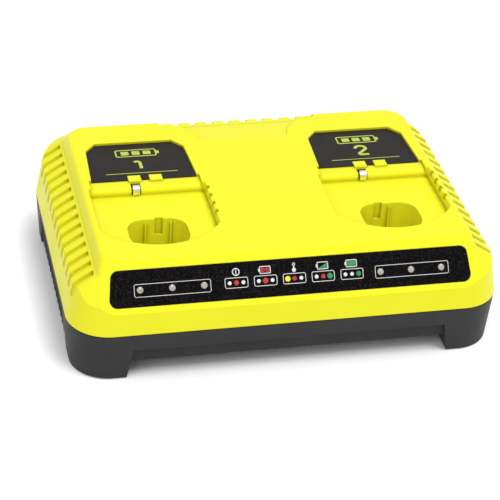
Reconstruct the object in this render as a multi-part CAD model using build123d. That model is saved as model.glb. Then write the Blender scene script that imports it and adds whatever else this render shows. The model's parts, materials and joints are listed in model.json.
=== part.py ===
"""Twin-bay bench charger for stem-type tool packs: a louvred cover on a dark base, with its works."""
import os
from math import cos, radians, sin, tan

from build123d import *

# Overall sizes in millimetres, width and depth taken at the seam between cover and base
width = 230.0
depth = 164.0
seam_height = 28.0
deck_height = 64.0
corner_radius = 22.0
cover_wall = 2.5
base_wall = 2.5
floor_height = 9.0
fit_gap = 0.3
overrun = 6.0
pick_tolerance = 0.05

# Cover form: a drafted band, a louvred shoulder and a raised podium with a flat deck
side_draft = 9.6
front_draft = 4.5
deck_side_inset = 17.5
deck_front_inset = 17.5
deck_rear_inset = 13.5
podium_rise = 7.8
podium_side_step = 2.5
podium_rear_step = 8.5
fascia_angle = 54.8
shoulder_angle = 33.6
podium_front_radius = 4.0
podium_rear_radius = 12.0
front_flare_share = 0.6
rear_flare_share = 1.185
cheek_slope = 56.0
cheek_turn = 35.0
cheek_set_in = 2.0
deck_edge_radius = 2.0

deck_half_width = width / 2 - deck_side_inset
deck_front = -depth / 2 + deck_front_inset
deck_rear = depth / 2 - deck_rear_inset
podium_foot = deck_height - podium_rise
podium_half_width = deck_half_width + podium_side_step
podium_front = deck_front - podium_rise / tan(radians(fascia_angle))
podium_rear = deck_rear + podium_rear_step

# Saddle: the deck between the bays falls towards the rear
saddle_length = 22.5
saddle_half_width = 25.0
saddle_radius = 20.0
saddle_slope = 7.0

# Louvre grooves on both shoulders and over the rear edge
side_groove_count = 15
side_groove_pitch = 9.0
side_groove_upper = 12.4
side_groove_lower = 6.5
rear_groove_count = 8
rear_groove_pitch = 9.75
rear_groove_lower = 8.0
groove_width = 4.2
side_groove_depth = 2.2
rear_groove_depth = 1.6
groove_fade_share = 0.3
groove_bevel = 0.4
louvre_wall = 3.6

# Bay: pocket for the pack's shoulders, ledge with snap tabs, plate recess behind it
bay_side_margin = 3.2
bay_front_margin = 9.5
pocket_half_width = 31.5
pocket_length = 57.4
pocket_arc_rise = 17.0
pocket_depth = 5.8
pocket_corner_radius = 1.2
pocket_flute_count = 4
pocket_flute_pitch = 8.0
pocket_flute_width = 3.0
pocket_flute_bite = 1.4
pocket_flute_height = 3.2
ledge_length = 8.1
ledge_drop = 1.6
ledge_half_width = 30.0
step_round = 2.6
plate_front_half_width = 28.5
plate_shoulder_half_width = 27.0
plate_rear_half_width = 21.2
plate_side_length = 31.0
plate_length = 38.1
plate_thickness = 0.4
plate_gap = 0.25
tab_width = 6.9
tab_length = 5.8
tab_bite = 3.8
tab_height = 1.0
tab_left_offset = -5.2
tab_right_offset = 6.4

bay_centre = deck_half_width - bay_side_margin - pocket_half_width
bay_front = deck_front + bay_front_margin
step_y = bay_front + pocket_length
plate_front = step_y + ledge_length
pocket_floor = deck_height - pocket_depth
ledge_height = deck_height - ledge_drop
tab_top = ledge_height + tab_height

# Stem well, one in each pocket
well_half_width = 15.8
well_length = 28.2
well_front_margin = 4.6
well_clearance = 2.2
well_rear_radius = 9.0
well_front_radius = 13.0
key_width = 4.2
key_bite = 1.4
key_height = 9.5
rib_width = 1.0
rib_proud = 1.3
rib_top_drop = 2.0
rib_gap = 1.0
well_marks = {
    "left": {"side": -1, "key": 2.2, "ribs": (-4.9, 8.6)},
    "right": {"side": 1, "key": -3.7, "ribs": (-11.0, 2.5)},
}

well_front = bay_front + well_front_margin
well_rear = well_front + well_length
well_floor = floor_height + base_wall + cover_wall + well_clearance
well_depth = pocket_floor - well_floor
rib_top = pocket_floor - rib_top_drop

# Power terminals in the back wall of each well, held by a block behind it
terminal_spread = 13.0
terminal_width = 4.0
terminal_thickness = 0.8
terminal_height = 15.0
terminal_lift = 3.0
terminal_stand_off = 0.6
tail_height = 3.0
terminal_block_width = 24.0
terminal_block_depth = 7.0
terminal_block_height = 14.0

# Sprung sense contact that looks over the step of each pocket
contact_offset = -5.6
contact_width = 3.7
contact_thickness = 0.7
contact_front_proud = 1.0
contact_span = 4.9
contact_top_drop = 0.6
contact_nose_length = 4.2
contact_leg_length = 15.0
contact_side_gap = 0.7
contact_travel_room = 2.0
carrier_depth = 9.0
carrier_side_wall = 2.0

# Indicator overlay on the fascia, with three lamps at each end
overlay_drop = 6.6
overlay_height = 18.7
overlay_side_margin = 4.2
overlay_flare = 2.0
overlay_radius = 4.0
overlay_thickness = 0.5
overlay_gap = 0.2
lamp_drop = 16.9
lamp_pitch = 16.4
lamp_radius = 1.65
lamp_flange_radius = 2.5
lamp_gap = 0.15
lamps_per_bay = 3
lamp_board_depth = 8.0
lamp_board_margin = 3.0
lamp_board_height = 14.0
lamp_post_radius = 3.0
lamp_post_margin = 8.3
board_thickness = 1.6

overlay_top_half_width = deck_half_width - overlay_side_margin
overlay_bottom_half_width = overlay_top_half_width + overlay_flare
lamp_reach = bay_centre + (lamps_per_bay - 1) / 2 * lamp_pitch
lamp_board_half_length = overlay_bottom_half_width - lamp_board_margin
lamp_post_outer = lamp_reach + lamp_post_margin
lamp_post_inner = lamp_reach - lamps_per_bay * lamp_pitch

# Base: tapered tub on four corner legs, with a set-back skirt at the front and vents at the sides
base_draft = 4.0
leg_width = 29.0
leg_length = 31.0
leg_draft = 10.0
skirt_height = 18.0
skirt_setback = 3.0
slot_count = 15
slot_pitch = 6.1
slot_width = 4.5
slot_top_drop = 5.0
slot_bite = 0.5
seam_gap = 0.5
lip_thickness = 1.3
lip_height = 2.5
lip_root = 4.0
foot_side = 17.0
foot_radius = 3.0
foot_thickness = 2.0
foot_proud = 0.8
foot_edge = 2.5
keyhole_spacing = 120.0
keyhole_head_radius = 4.5
keyhole_slot_width = 4.6
keyhole_slot_length = 9.0
keyhole_rear_offset = 22.0

floor_top = floor_height + base_wall
skirt_inset = skirt_setback + base_wall
keyhole_y = depth / 2 - leg_length - keyhole_rear_offset

# Screws and bosses that close the housing from below
boss_side_inset = 14.0
boss_y = 40.0
boss_radius = 4.2
boss_bore_radius = 1.9
pilot_radius = 1.4
screw_head_radius = 3.2
screw_head_height = 2.4
screw_bite = 10.0
boss_seat = 3.0
boss_x = width / 2 - boss_side_inset
boss_top = seam_height - boss_seat
pilot_top = boss_top + screw_bite + boss_seat

# Mains inlet in the rear wall
inlet_width = 22.0
inlet_height = 14.0
inlet_depth = 20.0
inlet_recess_width = 16.0
inlet_recess_height = 9.0
inlet_recess_depth = 14.0
inlet_offset = -48.0
inlet_rear_inset = 1.0
pin_spread = 8.6
pin_radius = 1.2
pin_length = 12.0
pin_tail_length = 7.0
pin_gap = 0.1

inlet_middle = floor_top + inlet_height / 2 + fit_gap

# Main board and what stands on it
board_lift = 4.0
board_half_width = 82.0
board_front_gap = 12.0
board_rear_gap = 24.0
board_post_radius = 4.0
board_post_inset = 6.0
board_screw_head_radius = 2.8
board_screw_head_height = 2.0
board_screw_shank_radius = 1.4
core_width = 36.0
core_depth = 28.0
core_height_share = 0.78
core_yoke = 7.0
core_limb = 14.0
winding_gap = 0.4
core_lift = 4.0
mains_capacitor_radius = 9.0
mains_capacitor_height_share = 0.83
capacitor_bevel = 1.2
output_capacitor_radius = 6.0
output_capacitor_height_share = 0.57
output_capacitor_pitch = 14.0
sink_width = 52.0
sink_spine = 4.0
sink_fin_length = 9.0
sink_fin_thickness = 1.8
sink_fin_count = 8
sink_height_share = 0.78
transistor_width = 10.0
transistor_height = 15.0
transistor_thickness = 4.5
transistor_lift = 6.0
transistor_pitch = 20.0
fuse_radius = 2.6
fuse_length = 20.0
fuse_cap_length = 5.0
fuse_cap_wall = 0.5
fuse_lift = 4.5
clip_width = 4.0
choke_ring_radius = 9.0
choke_half_height = 4.0
choke_bevel = 1.6

board_underside = floor_top + board_lift
board_top = board_underside + board_thickness
board_front = well_rear + board_front_gap
board_rear = depth / 2 - board_rear_gap
board_middle = (board_front + board_rear) / 2
board_length = board_rear - board_front
works_room = pocket_floor - cover_wall - board_top
core_height = core_height_share * works_room
mains_capacitor_height = mains_capacitor_height_share * works_room
output_capacitor_height = output_capacitor_height_share * works_room
sink_height = sink_height_share * works_room

# Places of the parts on the board, as shares of its half width and half length
core_shares = (0.0, -0.25)
mains_capacitor_shares = (-0.36, 0.45)
choke_shares = (-0.42, -0.35)
fuse_shares = (-0.72, -0.1)
sink_shares = (0.55, 0.55)
output_capacitor_shares = (0.5, -0.4)


def plan(half_width, front, rear, front_radius, rear_radius, height):
    """Outline seen from above, from y = front to y = rear, with rounded corners, laid at a height."""
    sheet = Pos(0, (front + rear) / 2) * Rectangle(2 * half_width, rear - front)
    sheet = fillet(sheet.vertices().sort_by(Axis.Y)[:2], front_radius)
    sheet = fillet(sheet.vertices().sort_by(Axis.Y)[-2:], rear_radius)
    return Pos(0, 0, height) * sheet


def slab(low, high):
    """Box between two opposite corners."""
    size = [b - a for a, b in zip(low, high)]
    middle = [(a + b) / 2 for a, b in zip(low, high)]
    return Pos(*middle) * Box(*size)


def pillar(x, y, bottom, top, radius):
    """Upright round bar between two heights."""
    return Pos(x, y, (bottom + top) / 2) * Cylinder(radius, top - bottom)


def band_plan(inset, height):
    """Outline of the drafted lower band of the cover at a height, drawn in by inset."""
    rise = height - seam_height
    half_depth = depth / 2 - inset - rise * tan(radians(front_draft))
    half_width = width / 2 - inset - rise * tan(radians(side_draft))
    return plan(half_width, -half_depth, half_depth, corner_radius - inset, corner_radius - inset, height)


def shoulder_plan(inset, drop, height):
    """Outline of the shoulder a drop below the podium's foot: its slopes spread and its corners flare."""
    spread = drop / tan(radians(shoulder_angle))
    reach = drop / tan(radians(fascia_angle))
    return plan(
        podium_half_width - inset + spread,
        podium_front + inset - reach,
        podium_rear - inset + spread,
        podium_front_radius + drop * front_flare_share,
        podium_rear_radius + drop * rear_flare_share,
        height,
    )


def cheeks(inset):
    """Blocks outside the two sloping cheeks that take off the front corners of the shoulder."""
    rise = cos(radians(cheek_slope))
    run = sin(radians(cheek_slope))
    blocks = []
    for side in (-1, 1):
        facing = (side * run * sin(radians(cheek_turn)), -run * cos(radians(cheek_turn)), rise)
        corner = (side * (podium_half_width - cheek_set_in), podium_front, podium_foot)
        face = Plane(origin=corner, z_dir=facing).offset(-inset)
        blocks.append(face * Pos(0, 0, depth / 2) * Box(depth, depth, depth))
    return blocks


def cover_form(inset, foot):
    """Solid form of the cover from height foot up, with every face drawn in by inset."""
    top = deck_height - inset
    ledge = podium_foot - inset
    deck = plan(
        deck_half_width - inset,
        deck_front + inset,
        deck_rear - inset,
        podium_front_radius,
        podium_rear_radius,
        top,
    )
    band = loft([band_plan(inset, foot), band_plan(inset, top + overrun)], ruled=True)
    shoulder = loft([shoulder_plan(inset, ledge - foot, foot), shoulder_plan(inset, 0, ledge)], ruled=True)
    podium = loft([shoulder_plan(inset, 0, ledge), deck], ruled=True)
    return band & (shoulder - cheeks(inset) + podium)


def saddle():
    """Wedge taken off the deck between the bays, bounded by the bay islands' rounded inner corners."""
    front = deck_rear - saddle_length
    far = depth / 2 + overrun
    fall = (far - front) * tan(radians(saddle_slope))
    top = deck_height + overrun
    wedge_points = [(front, deck_height), (far, deck_height - fall), (far, top), (front, top)]
    wedge = make_face(Polyline(*wedge_points, close=True))
    reach = saddle_half_width + saddle_radius
    cutter = extrude(Plane.YZ * wedge, reach, both=True)
    for side in (-1, 1):
        cutter -= pillar(side * reach, front, deck_height - fall - overrun, top + overrun, saddle_radius)
    return cutter


def meet(point_a, slope_a, point_b, slope_b):
    """Where two lines across = point + slope * height meet, as (across, height)."""
    height = (point_a - point_b) / (slope_b - slope_a)
    return (point_a + slope_a * height, height)


def groove(fold, upper_angle, lower_angle, upper, lower, deep):
    """Cutter of one louvre groove: down a slope, round the fold and fading on the steeper face."""
    upper_out = Vector(sin(radians(upper_angle)), cos(radians(upper_angle)))
    upper_along = Vector(-cos(radians(upper_angle)), sin(radians(upper_angle)))
    lower_out = Vector(cos(radians(lower_angle)), sin(radians(lower_angle)))
    lower_along = Vector(sin(radians(lower_angle)), -cos(radians(lower_angle)))
    turn_out = (upper_out + lower_out) * (1 / (1 + upper_out.dot(lower_out)))
    turn = Vector(*fold)
    start = turn + upper_along * upper
    end = turn + lower_along * lower
    bottom = [
        start - upper_out * deep,
        turn - turn_out * deep,
        end - lower_out * deep * groove_fade_share,
    ]
    outer = [end + lower_out * overrun, turn + turn_out * overrun, start + upper_out * overrun]
    points = [(p.X, p.Y) for p in bottom + outer]
    blank = extrude(Plane.XZ * make_face(Polyline(*points, close=True)), groove_width / 2, both=True)
    middles = [(bottom[0] + bottom[1]) * (1 / 2), (bottom[1] + bottom[2]) * (1 / 2)]
    long_edges = [
        edge
        for edge in blank.edges()
        if min((Vector(edge.center().X, edge.center().Z) - m).length for m in middles) < pick_tolerance
    ]
    return chamfer(long_edges, groove_bevel)


def louvres():
    """All louvre grooves: a row on each shoulder and a row over the rear edge."""
    side_run = 1 / tan(radians(shoulder_angle))
    side_fold = meet(
        podium_half_width + podium_foot * side_run,
        -side_run,
        width / 2 + seam_height * tan(radians(side_draft)),
        -tan(radians(side_draft)),
    )
    rear_run = podium_rear_step / podium_rise
    rear_fold = meet(
        deck_rear + deck_height * rear_run,
        -rear_run,
        depth / 2 + seam_height * tan(radians(front_draft)),
        -tan(radians(front_draft)),
    )
    rear_angle = 90 - Vector(1, rear_run).get_angle(Vector(1, 0))
    side_cutter = groove(
        side_fold, shoulder_angle, side_draft, side_groove_upper, side_groove_lower, side_groove_depth
    )
    rear_upper = (deck_height - rear_fold[1]) / sin(radians(rear_angle))
    rear_cutter = groove(
        rear_fold, rear_angle, front_draft, rear_upper, rear_groove_lower, rear_groove_depth
    )
    cutters = []
    for number in range(side_groove_count):
        along = (number - (side_groove_count - 1) / 2) * side_groove_pitch
        cutters.append(Pos(0, along, 0) * side_cutter)
        cutters.append(Pos(0, along, 0) * Rot(0, 0, 180) * side_cutter)
    for number in range(rear_groove_count):
        along = (number - (rear_groove_count - 1) / 2) * rear_groove_pitch
        cutters.append(Pos(along, 0, 0) * Rot(0, 0, 90) * rear_cutter)
    return cutters


def louvre_backs():
    """Blocks inside both shoulders where the wall is thicker behind the louvres."""
    reach = side_groove_count * side_groove_pitch / 2 + groove_width
    inner = podium_half_width - louvre_wall
    low = seam_height + lip_height + overrun
    outer = width / 2
    return [
        slab((-outer, -reach, low), (-inner, reach, podium_foot)),
        slab((inner, -reach, low), (outer, reach, podium_foot)),
    ]


def pocket_sheet(centre):
    """Plan of a bay pocket: straight back and sides, with a bowed front."""
    arc_ends = bay_front + pocket_arc_rise
    left = (centre - pocket_half_width, arc_ends)
    right = (centre + pocket_half_width, arc_ends)
    back_right = (centre + pocket_half_width, step_y)
    back_left = (centre - pocket_half_width, step_y)
    edges = [Polyline(right, back_right, back_left, left), ThreePointArc(left, (centre, bay_front), right)]
    sheet = make_face(edges)
    return fillet(sheet.vertices().sort_by(Axis.Y)[-2:], pocket_corner_radius)


def well_sheet(centre, grow):
    """Plan of a stem well, grown all round."""
    outline = plan(
        well_half_width + grow,
        well_front - grow,
        well_rear + grow,
        well_front_radius + grow,
        well_rear_radius + grow,
        0,
    )
    return Pos(centre, 0) * outline


def plate_sheet(centre, grow):
    """Plan of a bay plate with its two clipped rear corners, grown all round."""
    side = plate_front + plate_side_length
    rear = plate_front + plate_length
    right = [
        (plate_front_half_width, plate_front),
        (plate_shoulder_half_width, side),
        (plate_rear_half_width, rear),
    ]
    left = [(-x, y) for x, y in reversed(right)]
    sheet = make_face(Polyline(*right, *left, close=True))
    grown = offset(sheet, grow, kind=Kind.INTERSECTION) if grow else sheet
    return Pos(centre, 0) * grown


def tab_boxes(centre, grow):
    """The two snap tabs on a bay's ledge, grown on three sides."""
    front = plate_front + tab_bite - tab_length
    return [
        slab(
            (centre + middle - tab_width / 2 - grow, front, ledge_height),
            (centre + middle + tab_width / 2 + grow, plate_front + tab_bite + grow, tab_top),
        )
        for middle in (tab_left_offset, tab_right_offset)
    ]


def terminal_places(centre):
    """Middles of the two power terminals of a well, across."""
    return [centre + side * terminal_spread / 2 for side in (-1, 1)]


def bay_solids(centre):
    """Walls that hang below the deck round a bay: the pocket's tray and the well's tube."""
    tray_sheet = offset(pocket_sheet(centre), cover_wall)
    tray = extrude(Pos(0, 0, pocket_floor - cover_wall) * tray_sheet, pocket_depth + cover_wall)
    tube_bottom = well_floor - cover_wall
    tube = extrude(Pos(0, 0, tube_bottom) * well_sheet(centre, cover_wall), pocket_floor - tube_bottom)
    return tray + tube


def step_rounding(centre):
    """Sliver that rounds the top edge of a pocket's step."""
    corner = slab(
        (centre - ledge_half_width, step_y, ledge_height - step_round),
        (centre + ledge_half_width, step_y + step_round, ledge_height),
    )
    bar = Cylinder(step_round, 2 * ledge_half_width + overrun)
    return corner - Pos(centre, step_y + step_round, ledge_height - step_round) * Rot(0, 90, 0) * bar


def bay_cuts(centre, marks):
    """Everything cut from the cover at one bay."""
    cuts = [extrude(Pos(0, 0, pocket_floor) * pocket_sheet(centre), pocket_depth + overrun)]
    cuts.append(extrude(Pos(0, 0, well_floor) * well_sheet(centre, 0), well_depth + overrun))
    cuts.append(extrude(Pos(0, 0, ledge_height) * plate_sheet(centre, plate_gap), ledge_drop + overrun))
    cuts.append(
        slab(
            (centre - ledge_half_width, step_y - overrun, ledge_height),
            (centre + ledge_half_width, plate_front + plate_gap, deck_height + overrun),
        )
    )
    cuts.append(step_rounding(centre))
    wall = centre + pocket_half_width
    half = pocket_flute_width / 2
    for number in range(pocket_flute_count):
        middle = step_y - pocket_corner_radius - (number + 1 / 2) * pocket_flute_pitch
        cuts.append(
            slab(
                (wall - pocket_flute_bite, middle - half, deck_height - pocket_flute_height),
                (wall + pocket_flute_bite, middle + half, deck_height + overrun),
            )
        )
    key = centre + marks["key"]
    cuts.append(
        slab(
            (key - key_width / 2, well_rear - key_bite, pocket_floor - key_height),
            (key + key_width / 2, well_rear + key_bite, pocket_floor + overrun),
        )
    )
    slot_middle = centre + contact_offset
    slot_half = contact_width / 2 + contact_side_gap
    slot_rear = step_y - contact_front_proud + contact_span + contact_travel_room
    cuts.append(
        slab(
            (slot_middle - slot_half, step_y - overrun, pocket_floor),
            (slot_middle + slot_half, slot_rear, deck_height + overrun),
        )
    )
    tail = well_floor + terminal_lift + terminal_height / 2
    tail_half = tail_height / 2 + fit_gap
    for place in terminal_places(centre):
        half = terminal_width / 2 + fit_gap
        cuts.append(
            slab(
                (place - half, well_rear - overrun, tail - tail_half),
                (place + half, well_rear + overrun, tail + tail_half),
            )
        )
    return cuts


def well_ribs(centre, marks):
    """Thin upright ribs on the back wall of a well, above its terminals."""
    low = well_floor + terminal_lift + terminal_height + rib_gap
    return [
        slab(
            (centre + place - rib_width / 2, well_rear - rib_proud, low),
            (centre + place + rib_width / 2, well_rear + rib_proud, rib_top),
        )
        for place in marks["ribs"]
    ]


def fascia_plane(drop):
    """Plane on the sloping front, with its origin a drop below the deck's front edge and Z pointing out."""
    slope = radians(fascia_angle)
    origin = (0, deck_front - drop * cos(slope), deck_height - drop * sin(slope))
    return Plane(origin=origin, x_dir=(1, 0, 0), z_dir=(0, -sin(slope), cos(slope)))


def overlay_sheet(grow):
    """Outline of the indicator overlay: a little wider at its foot, with rounded corners."""
    half_height = overlay_height / 2
    right = [(overlay_bottom_half_width, -half_height), (overlay_top_half_width, half_height)]
    left = [(-x, y) for x, y in reversed(right)]
    sheet = make_face(Polyline(*right, *left, close=True))
    sheet = fillet(sheet.vertices(), overlay_radius)
    return offset(sheet, grow) if grow else sheet


def lamp_places(side):
    """Middles of the lamps at one end of the overlay, across."""
    return [side * (lamp_reach - number * lamp_pitch) for number in range(lamps_per_bay)]


def on_fascia(drop, x, low, high, radius):
    """Round bar square to the fascia, between two depths measured out of it."""
    return fascia_plane(drop) * Pos(x, 0, (low + high) / 2) * Cylinder(radius, high - low)


def make_cover():
    """Cover: shelled form with both bays, louvres, overlay recess, lamp holes and screw bosses."""
    outer = cover_form(0, seam_height)
    rim = [edge for edge in outer.edges() if abs(edge.center().Z - deck_height) < pick_tolerance]
    outer = fillet(rim, deck_edge_radius)
    outer -= saddle()
    outer -= louvres()
    thick = cover_form(louvre_wall, seam_height - overrun)
    inner = cover_form(cover_wall, seam_height - overrun) - [back - thick for back in louvre_backs()]
    shell = outer - inner
    overlay_middle = fascia_plane(overlay_drop + overlay_height / 2)
    additions = []
    cuts = [extrude(overlay_middle * Pos(0, 0, -overlay_thickness) * overlay_sheet(overlay_gap), overrun)]
    late = []
    for marks in well_marks.values():
        centre = marks["side"] * bay_centre
        additions.append(bay_solids(centre))
        cuts += bay_cuts(centre, marks)
        late += tab_boxes(centre, 0) + well_ribs(centre, marks)
        for place in lamp_places(marks["side"]):
            cuts.append(on_fascia(lamp_drop, place, -lamp_board_depth, overrun, lamp_radius + lamp_gap))
    for x, y in boss_places():
        additions.append(pillar(x, y, boss_top, deck_height, boss_radius))
        cuts.append(pillar(x, y, seam_height - overrun, pilot_top, pilot_radius))
    for place in (-lamp_post_outer, -lamp_post_inner, lamp_post_inner, lamp_post_outer):
        post = on_fascia(lamp_drop, place, -lamp_board_depth, -overlay_thickness, lamp_post_radius)
        additions.append(post)
    root_inset = (side_groove_depth + cover_wall) / 2
    limit = cover_form(root_inset, seam_height - overrun) + slab(
        (-width / 2, -depth / 2, well_floor - cover_wall),
        (width / 2, depth / 2, seam_height),
    )
    body = shell + [piece & limit for piece in additions]
    body -= cuts
    return body + late


def make_overlay():
    """Thin overlay let into the fascia, with a hole for each lamp."""
    middle = fascia_plane(overlay_drop + overlay_height / 2)
    sheet = extrude(middle * Pos(0, 0, -overlay_thickness) * overlay_sheet(0), overlay_thickness)
    holes = [
        on_fascia(lamp_drop, place, -overrun, overrun, lamp_radius + lamp_gap)
        for side in (-1, 1)
        for place in lamp_places(side)
    ]
    return sheet - holes


def make_lamps(side):
    """Three light pipes of one bay, each with a foot on the lamp board."""
    lamps = []
    flange_top = -(lamp_board_depth - board_thickness)
    for place in lamp_places(side):
        pipe = on_fascia(lamp_drop, place, -lamp_board_depth, 0, lamp_radius)
        foot = on_fascia(lamp_drop, place, -lamp_board_depth, flange_top, lamp_flange_radius)
        lamps.append(pipe + foot)
    return lamps


def make_lamp_board():
    """Narrow circuit board behind the fascia."""
    sheet = Rectangle(2 * lamp_board_half_length, lamp_board_height)
    back = fascia_plane(lamp_drop) * Pos(0, 0, -lamp_board_depth - board_thickness)
    return extrude(back * sheet, board_thickness)


def make_plate(side):
    """Thin dark plate let into a bay's deck, notched round the two tabs."""
    centre = side * bay_centre
    plate = extrude(Pos(0, 0, ledge_height) * plate_sheet(centre, 0), plate_thickness)
    return plate - tab_boxes(centre, plate_gap)


def contact_pivot(side):
    """Root of a sense contact, where it bends: its x, y and z."""
    leg = step_y - contact_front_proud + contact_span - contact_thickness / 2
    return (side * bay_centre + contact_offset, leg, deck_height - contact_top_drop - contact_leg_length)


def make_contact(side):
    """Sense contact: a strip bent over in a half round, with a short nose and a long leg behind."""
    x, leg, root = contact_pivot(side)
    front = step_y - contact_front_proud + contact_thickness / 2
    bend = (leg - front) / 2
    crown = deck_height - contact_top_drop - contact_thickness / 2 - bend
    nose = crown + bend - contact_nose_length
    spine = [
        Line((front, nose), (front, crown)),
        ThreePointArc((front, crown), (front + bend, crown + bend), (leg, crown)),
        Line((leg, crown), (leg, root)),
    ]
    strip = make_face(offset(Curve() + spine, contact_thickness / 2, side=Side.BOTH, kind=Kind.ARC))
    return Pos(x, 0, 0) * extrude(Plane.YZ * strip, contact_width / 2, both=True)


def make_carrier(side):
    """Block behind a pocket's step that holds the root of the sense contact in an open slot."""
    x, leg, root = contact_pivot(side)
    half = contact_width / 2 + contact_side_gap
    wall_face = step_y + cover_wall
    top = ledge_height - cover_wall
    slot_floor = root - contact_thickness / 2 - fit_gap
    slot_rear = step_y - contact_front_proud + contact_span + contact_travel_room
    block = slab(
        (x - half - carrier_side_wall, wall_face, slot_floor - carrier_side_wall),
        (x + half + carrier_side_wall, wall_face + carrier_depth, top),
    )
    return block - slab((x - half, wall_face - overrun, slot_floor), (x + half, slot_rear, top + overrun))


def make_terminals(side):
    """Two power terminals of a well: a flat blade inside the well and a tail through its back wall."""
    blades = []
    bottom = well_floor + terminal_lift
    middle = bottom + terminal_height / 2
    face = well_rear - terminal_stand_off
    for place in terminal_places(side * bay_centre):
        blade = slab(
            (place - terminal_width / 2, face - terminal_thickness, bottom),
            (place + terminal_width / 2, face, bottom + terminal_height),
        )
        tail = slab(
            (place - terminal_width / 2, face - terminal_thickness, middle - tail_height / 2),
            (place + terminal_width / 2, well_rear + cover_wall, middle + tail_height / 2),
        )
        blades.append(blade + tail)
    return blades


def make_terminal_block(side):
    """Insulating block on the back of a well, which the terminals' tails end in."""
    centre = side * bay_centre
    middle = well_floor + terminal_lift + terminal_height / 2
    half_width = terminal_block_width / 2
    half_height = terminal_block_height / 2
    front = well_rear + cover_wall
    return slab(
        (centre - half_width, front, middle - half_height),
        (centre + half_width, front + terminal_block_depth, middle + half_height),
    )


def base_plan(inset, height):
    """Outline of the base at a height, drawn in by inset."""
    taper = (seam_height - height) * tan(radians(base_draft)) + inset
    half_depth = depth / 2 - taper
    radius = corner_radius - taper
    return plan(width / 2 - taper, -half_depth, half_depth, radius, radius, height)


def base_form(inset, low, high):
    """Solid form of the base between two heights, drawn in by inset."""
    return loft([base_plan(inset, low), base_plan(inset, high)], ruled=True)


def leg_gap(half_length, top, reach):
    """Space between two legs up to a height: a trapezium that narrows upwards, reach deep each way."""
    narrow = half_length - top * tan(radians(leg_draft))
    points = [(-half_length, 0), (half_length, 0), (narrow, top), (-narrow, top)]
    return extrude(Plane.XZ * make_face(Polyline(*points, close=True)), reach, both=True)


def side_slots():
    """Upright vent slots through both side walls, open at the bottom."""
    taper = (seam_height - floor_height) * tan(radians(base_draft))
    inner = width / 2 - taper - base_wall - slot_bite
    middles = [(number - (slot_count - 1) / 2) * slot_pitch for number in range(slot_count)]
    return [
        slab(
            (min(side * inner, side * width / 2), along - slot_width / 2, floor_height - overrun),
            (max(side * inner, side * width / 2), along + slot_width / 2, seam_height - slot_top_drop),
        )
        for side in (-1, 1)
        for along in middles
    ]


def keyholes():
    """Two keyhole slots in the floor, by which the charger hangs on screw heads."""
    low = floor_height - overrun
    high = floor_top + overrun
    cuts = []
    for x in (-keyhole_spacing / 2, keyhole_spacing / 2):
        half = keyhole_slot_width / 2
        cuts.append(pillar(x, keyhole_y, low, high, keyhole_head_radius))
        cuts.append(slab((x - half, keyhole_y, low), (x + half, keyhole_y + keyhole_slot_length, high)))
    return cuts


def base_rim():
    """Lip inside the base's rim that stands up into the cover."""
    low = seam_height - lip_root
    inner = base_wall + lip_thickness
    high = seam_height + lip_height
    lip = base_form(base_wall, low, seam_height) - base_form(inner, low, seam_height)
    tongue = base_form(0, seam_height, high) & cover_form(cover_wall + fit_gap, seam_height)
    return lip + (tongue - base_form(inner, low, high + overrun))


def make_base():
    """Base tub: tapered walls on four legs, a set-back front skirt, side vents, screw bosses and posts."""
    leg_x = width / 2 - leg_width
    leg_y = depth / 2 - leg_length
    core = base_form(skirt_setback, 0, seam_height)
    front_gap = Pos(0, -depth / 2, 0) * leg_gap(leg_x, skirt_height, depth / 2)
    hollows = [
        leg_gap(leg_x, floor_height, depth),
        Rot(0, 0, 90) * leg_gap(leg_y, floor_height, width),
        front_gap - core,
        base_form(skirt_inset, floor_top, skirt_height + base_wall),
        base_form(base_wall, skirt_height + base_wall, seam_height + overrun),
    ]
    tub = base_form(0, foot_proud, seam_height - seam_gap) - hollows
    stands = [base_rim()]
    cuts = side_slots() + keyholes() + [foot_pad(x, y, fit_gap) for x, y in foot_places()]
    for x, y in boss_places():
        stands.append(pillar(x, y, floor_height, boss_top, boss_radius))
        cuts.append(pillar(x, y, floor_height - overrun, boss_top + overrun, boss_bore_radius))
        cuts.append(pillar(x, y, floor_height - overrun, boss_top - boss_seat, screw_head_radius + fit_gap))
    for x, y in board_posts():
        stands.append(pillar(x, y, floor_height, board_underside, board_post_radius))
        cuts.append(pillar(x, y, floor_top, board_underside + overrun, board_screw_shank_radius))
    inlet_half = inlet_width / 2 + fit_gap
    cuts.append(
        slab(
            (inlet_offset - inlet_half, depth / 2 - inlet_depth, floor_top),
            (inlet_offset + inlet_half, depth / 2 + overrun, inlet_middle + inlet_height / 2 + fit_gap),
        )
    )
    return tub + stands - cuts


def boss_places():
    """Places of the four screw bosses."""
    return [(x, y) for x in (-boss_x, boss_x) for y in (-boss_y, boss_y)]


def board_posts():
    """Places of the four posts under the main board."""
    x = board_half_width - board_post_inset
    rows = (board_front + board_post_inset, board_rear - board_post_inset)
    return [(a, b) for a in (-x, x) for b in rows]


def foot_places():
    """Places of the four foot pads, in the middle of the leg soles."""
    x = width / 2 - leg_width / 2 - foot_edge
    y = depth / 2 - leg_length / 2 - foot_edge
    return [(a, b) for a in (-x, x) for b in (-y, y)]


def foot_pad(x, y, grow):
    """Square rubber pad with rounded corners under a leg, grown all round."""
    sheet = RectangleRounded(foot_side + 2 * grow, foot_side + 2 * grow, foot_radius + grow)
    return extrude(Pos(x, y, 0) * sheet, foot_thickness)


def make_feet():
    """Four rubber pads."""
    return [foot_pad(x, y, 0) for x, y in foot_places()]


def make_housing_screws():
    """Four screws that come up through the base's bosses into the cover's."""
    screws = []
    seat = boss_top - boss_seat
    for x, y in boss_places():
        head = pillar(x, y, seat - screw_head_height, seat, screw_head_radius)
        shank = pillar(x, y, seat, boss_top + screw_bite, pilot_radius)
        screws.append(head + shank)
    return screws


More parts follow.
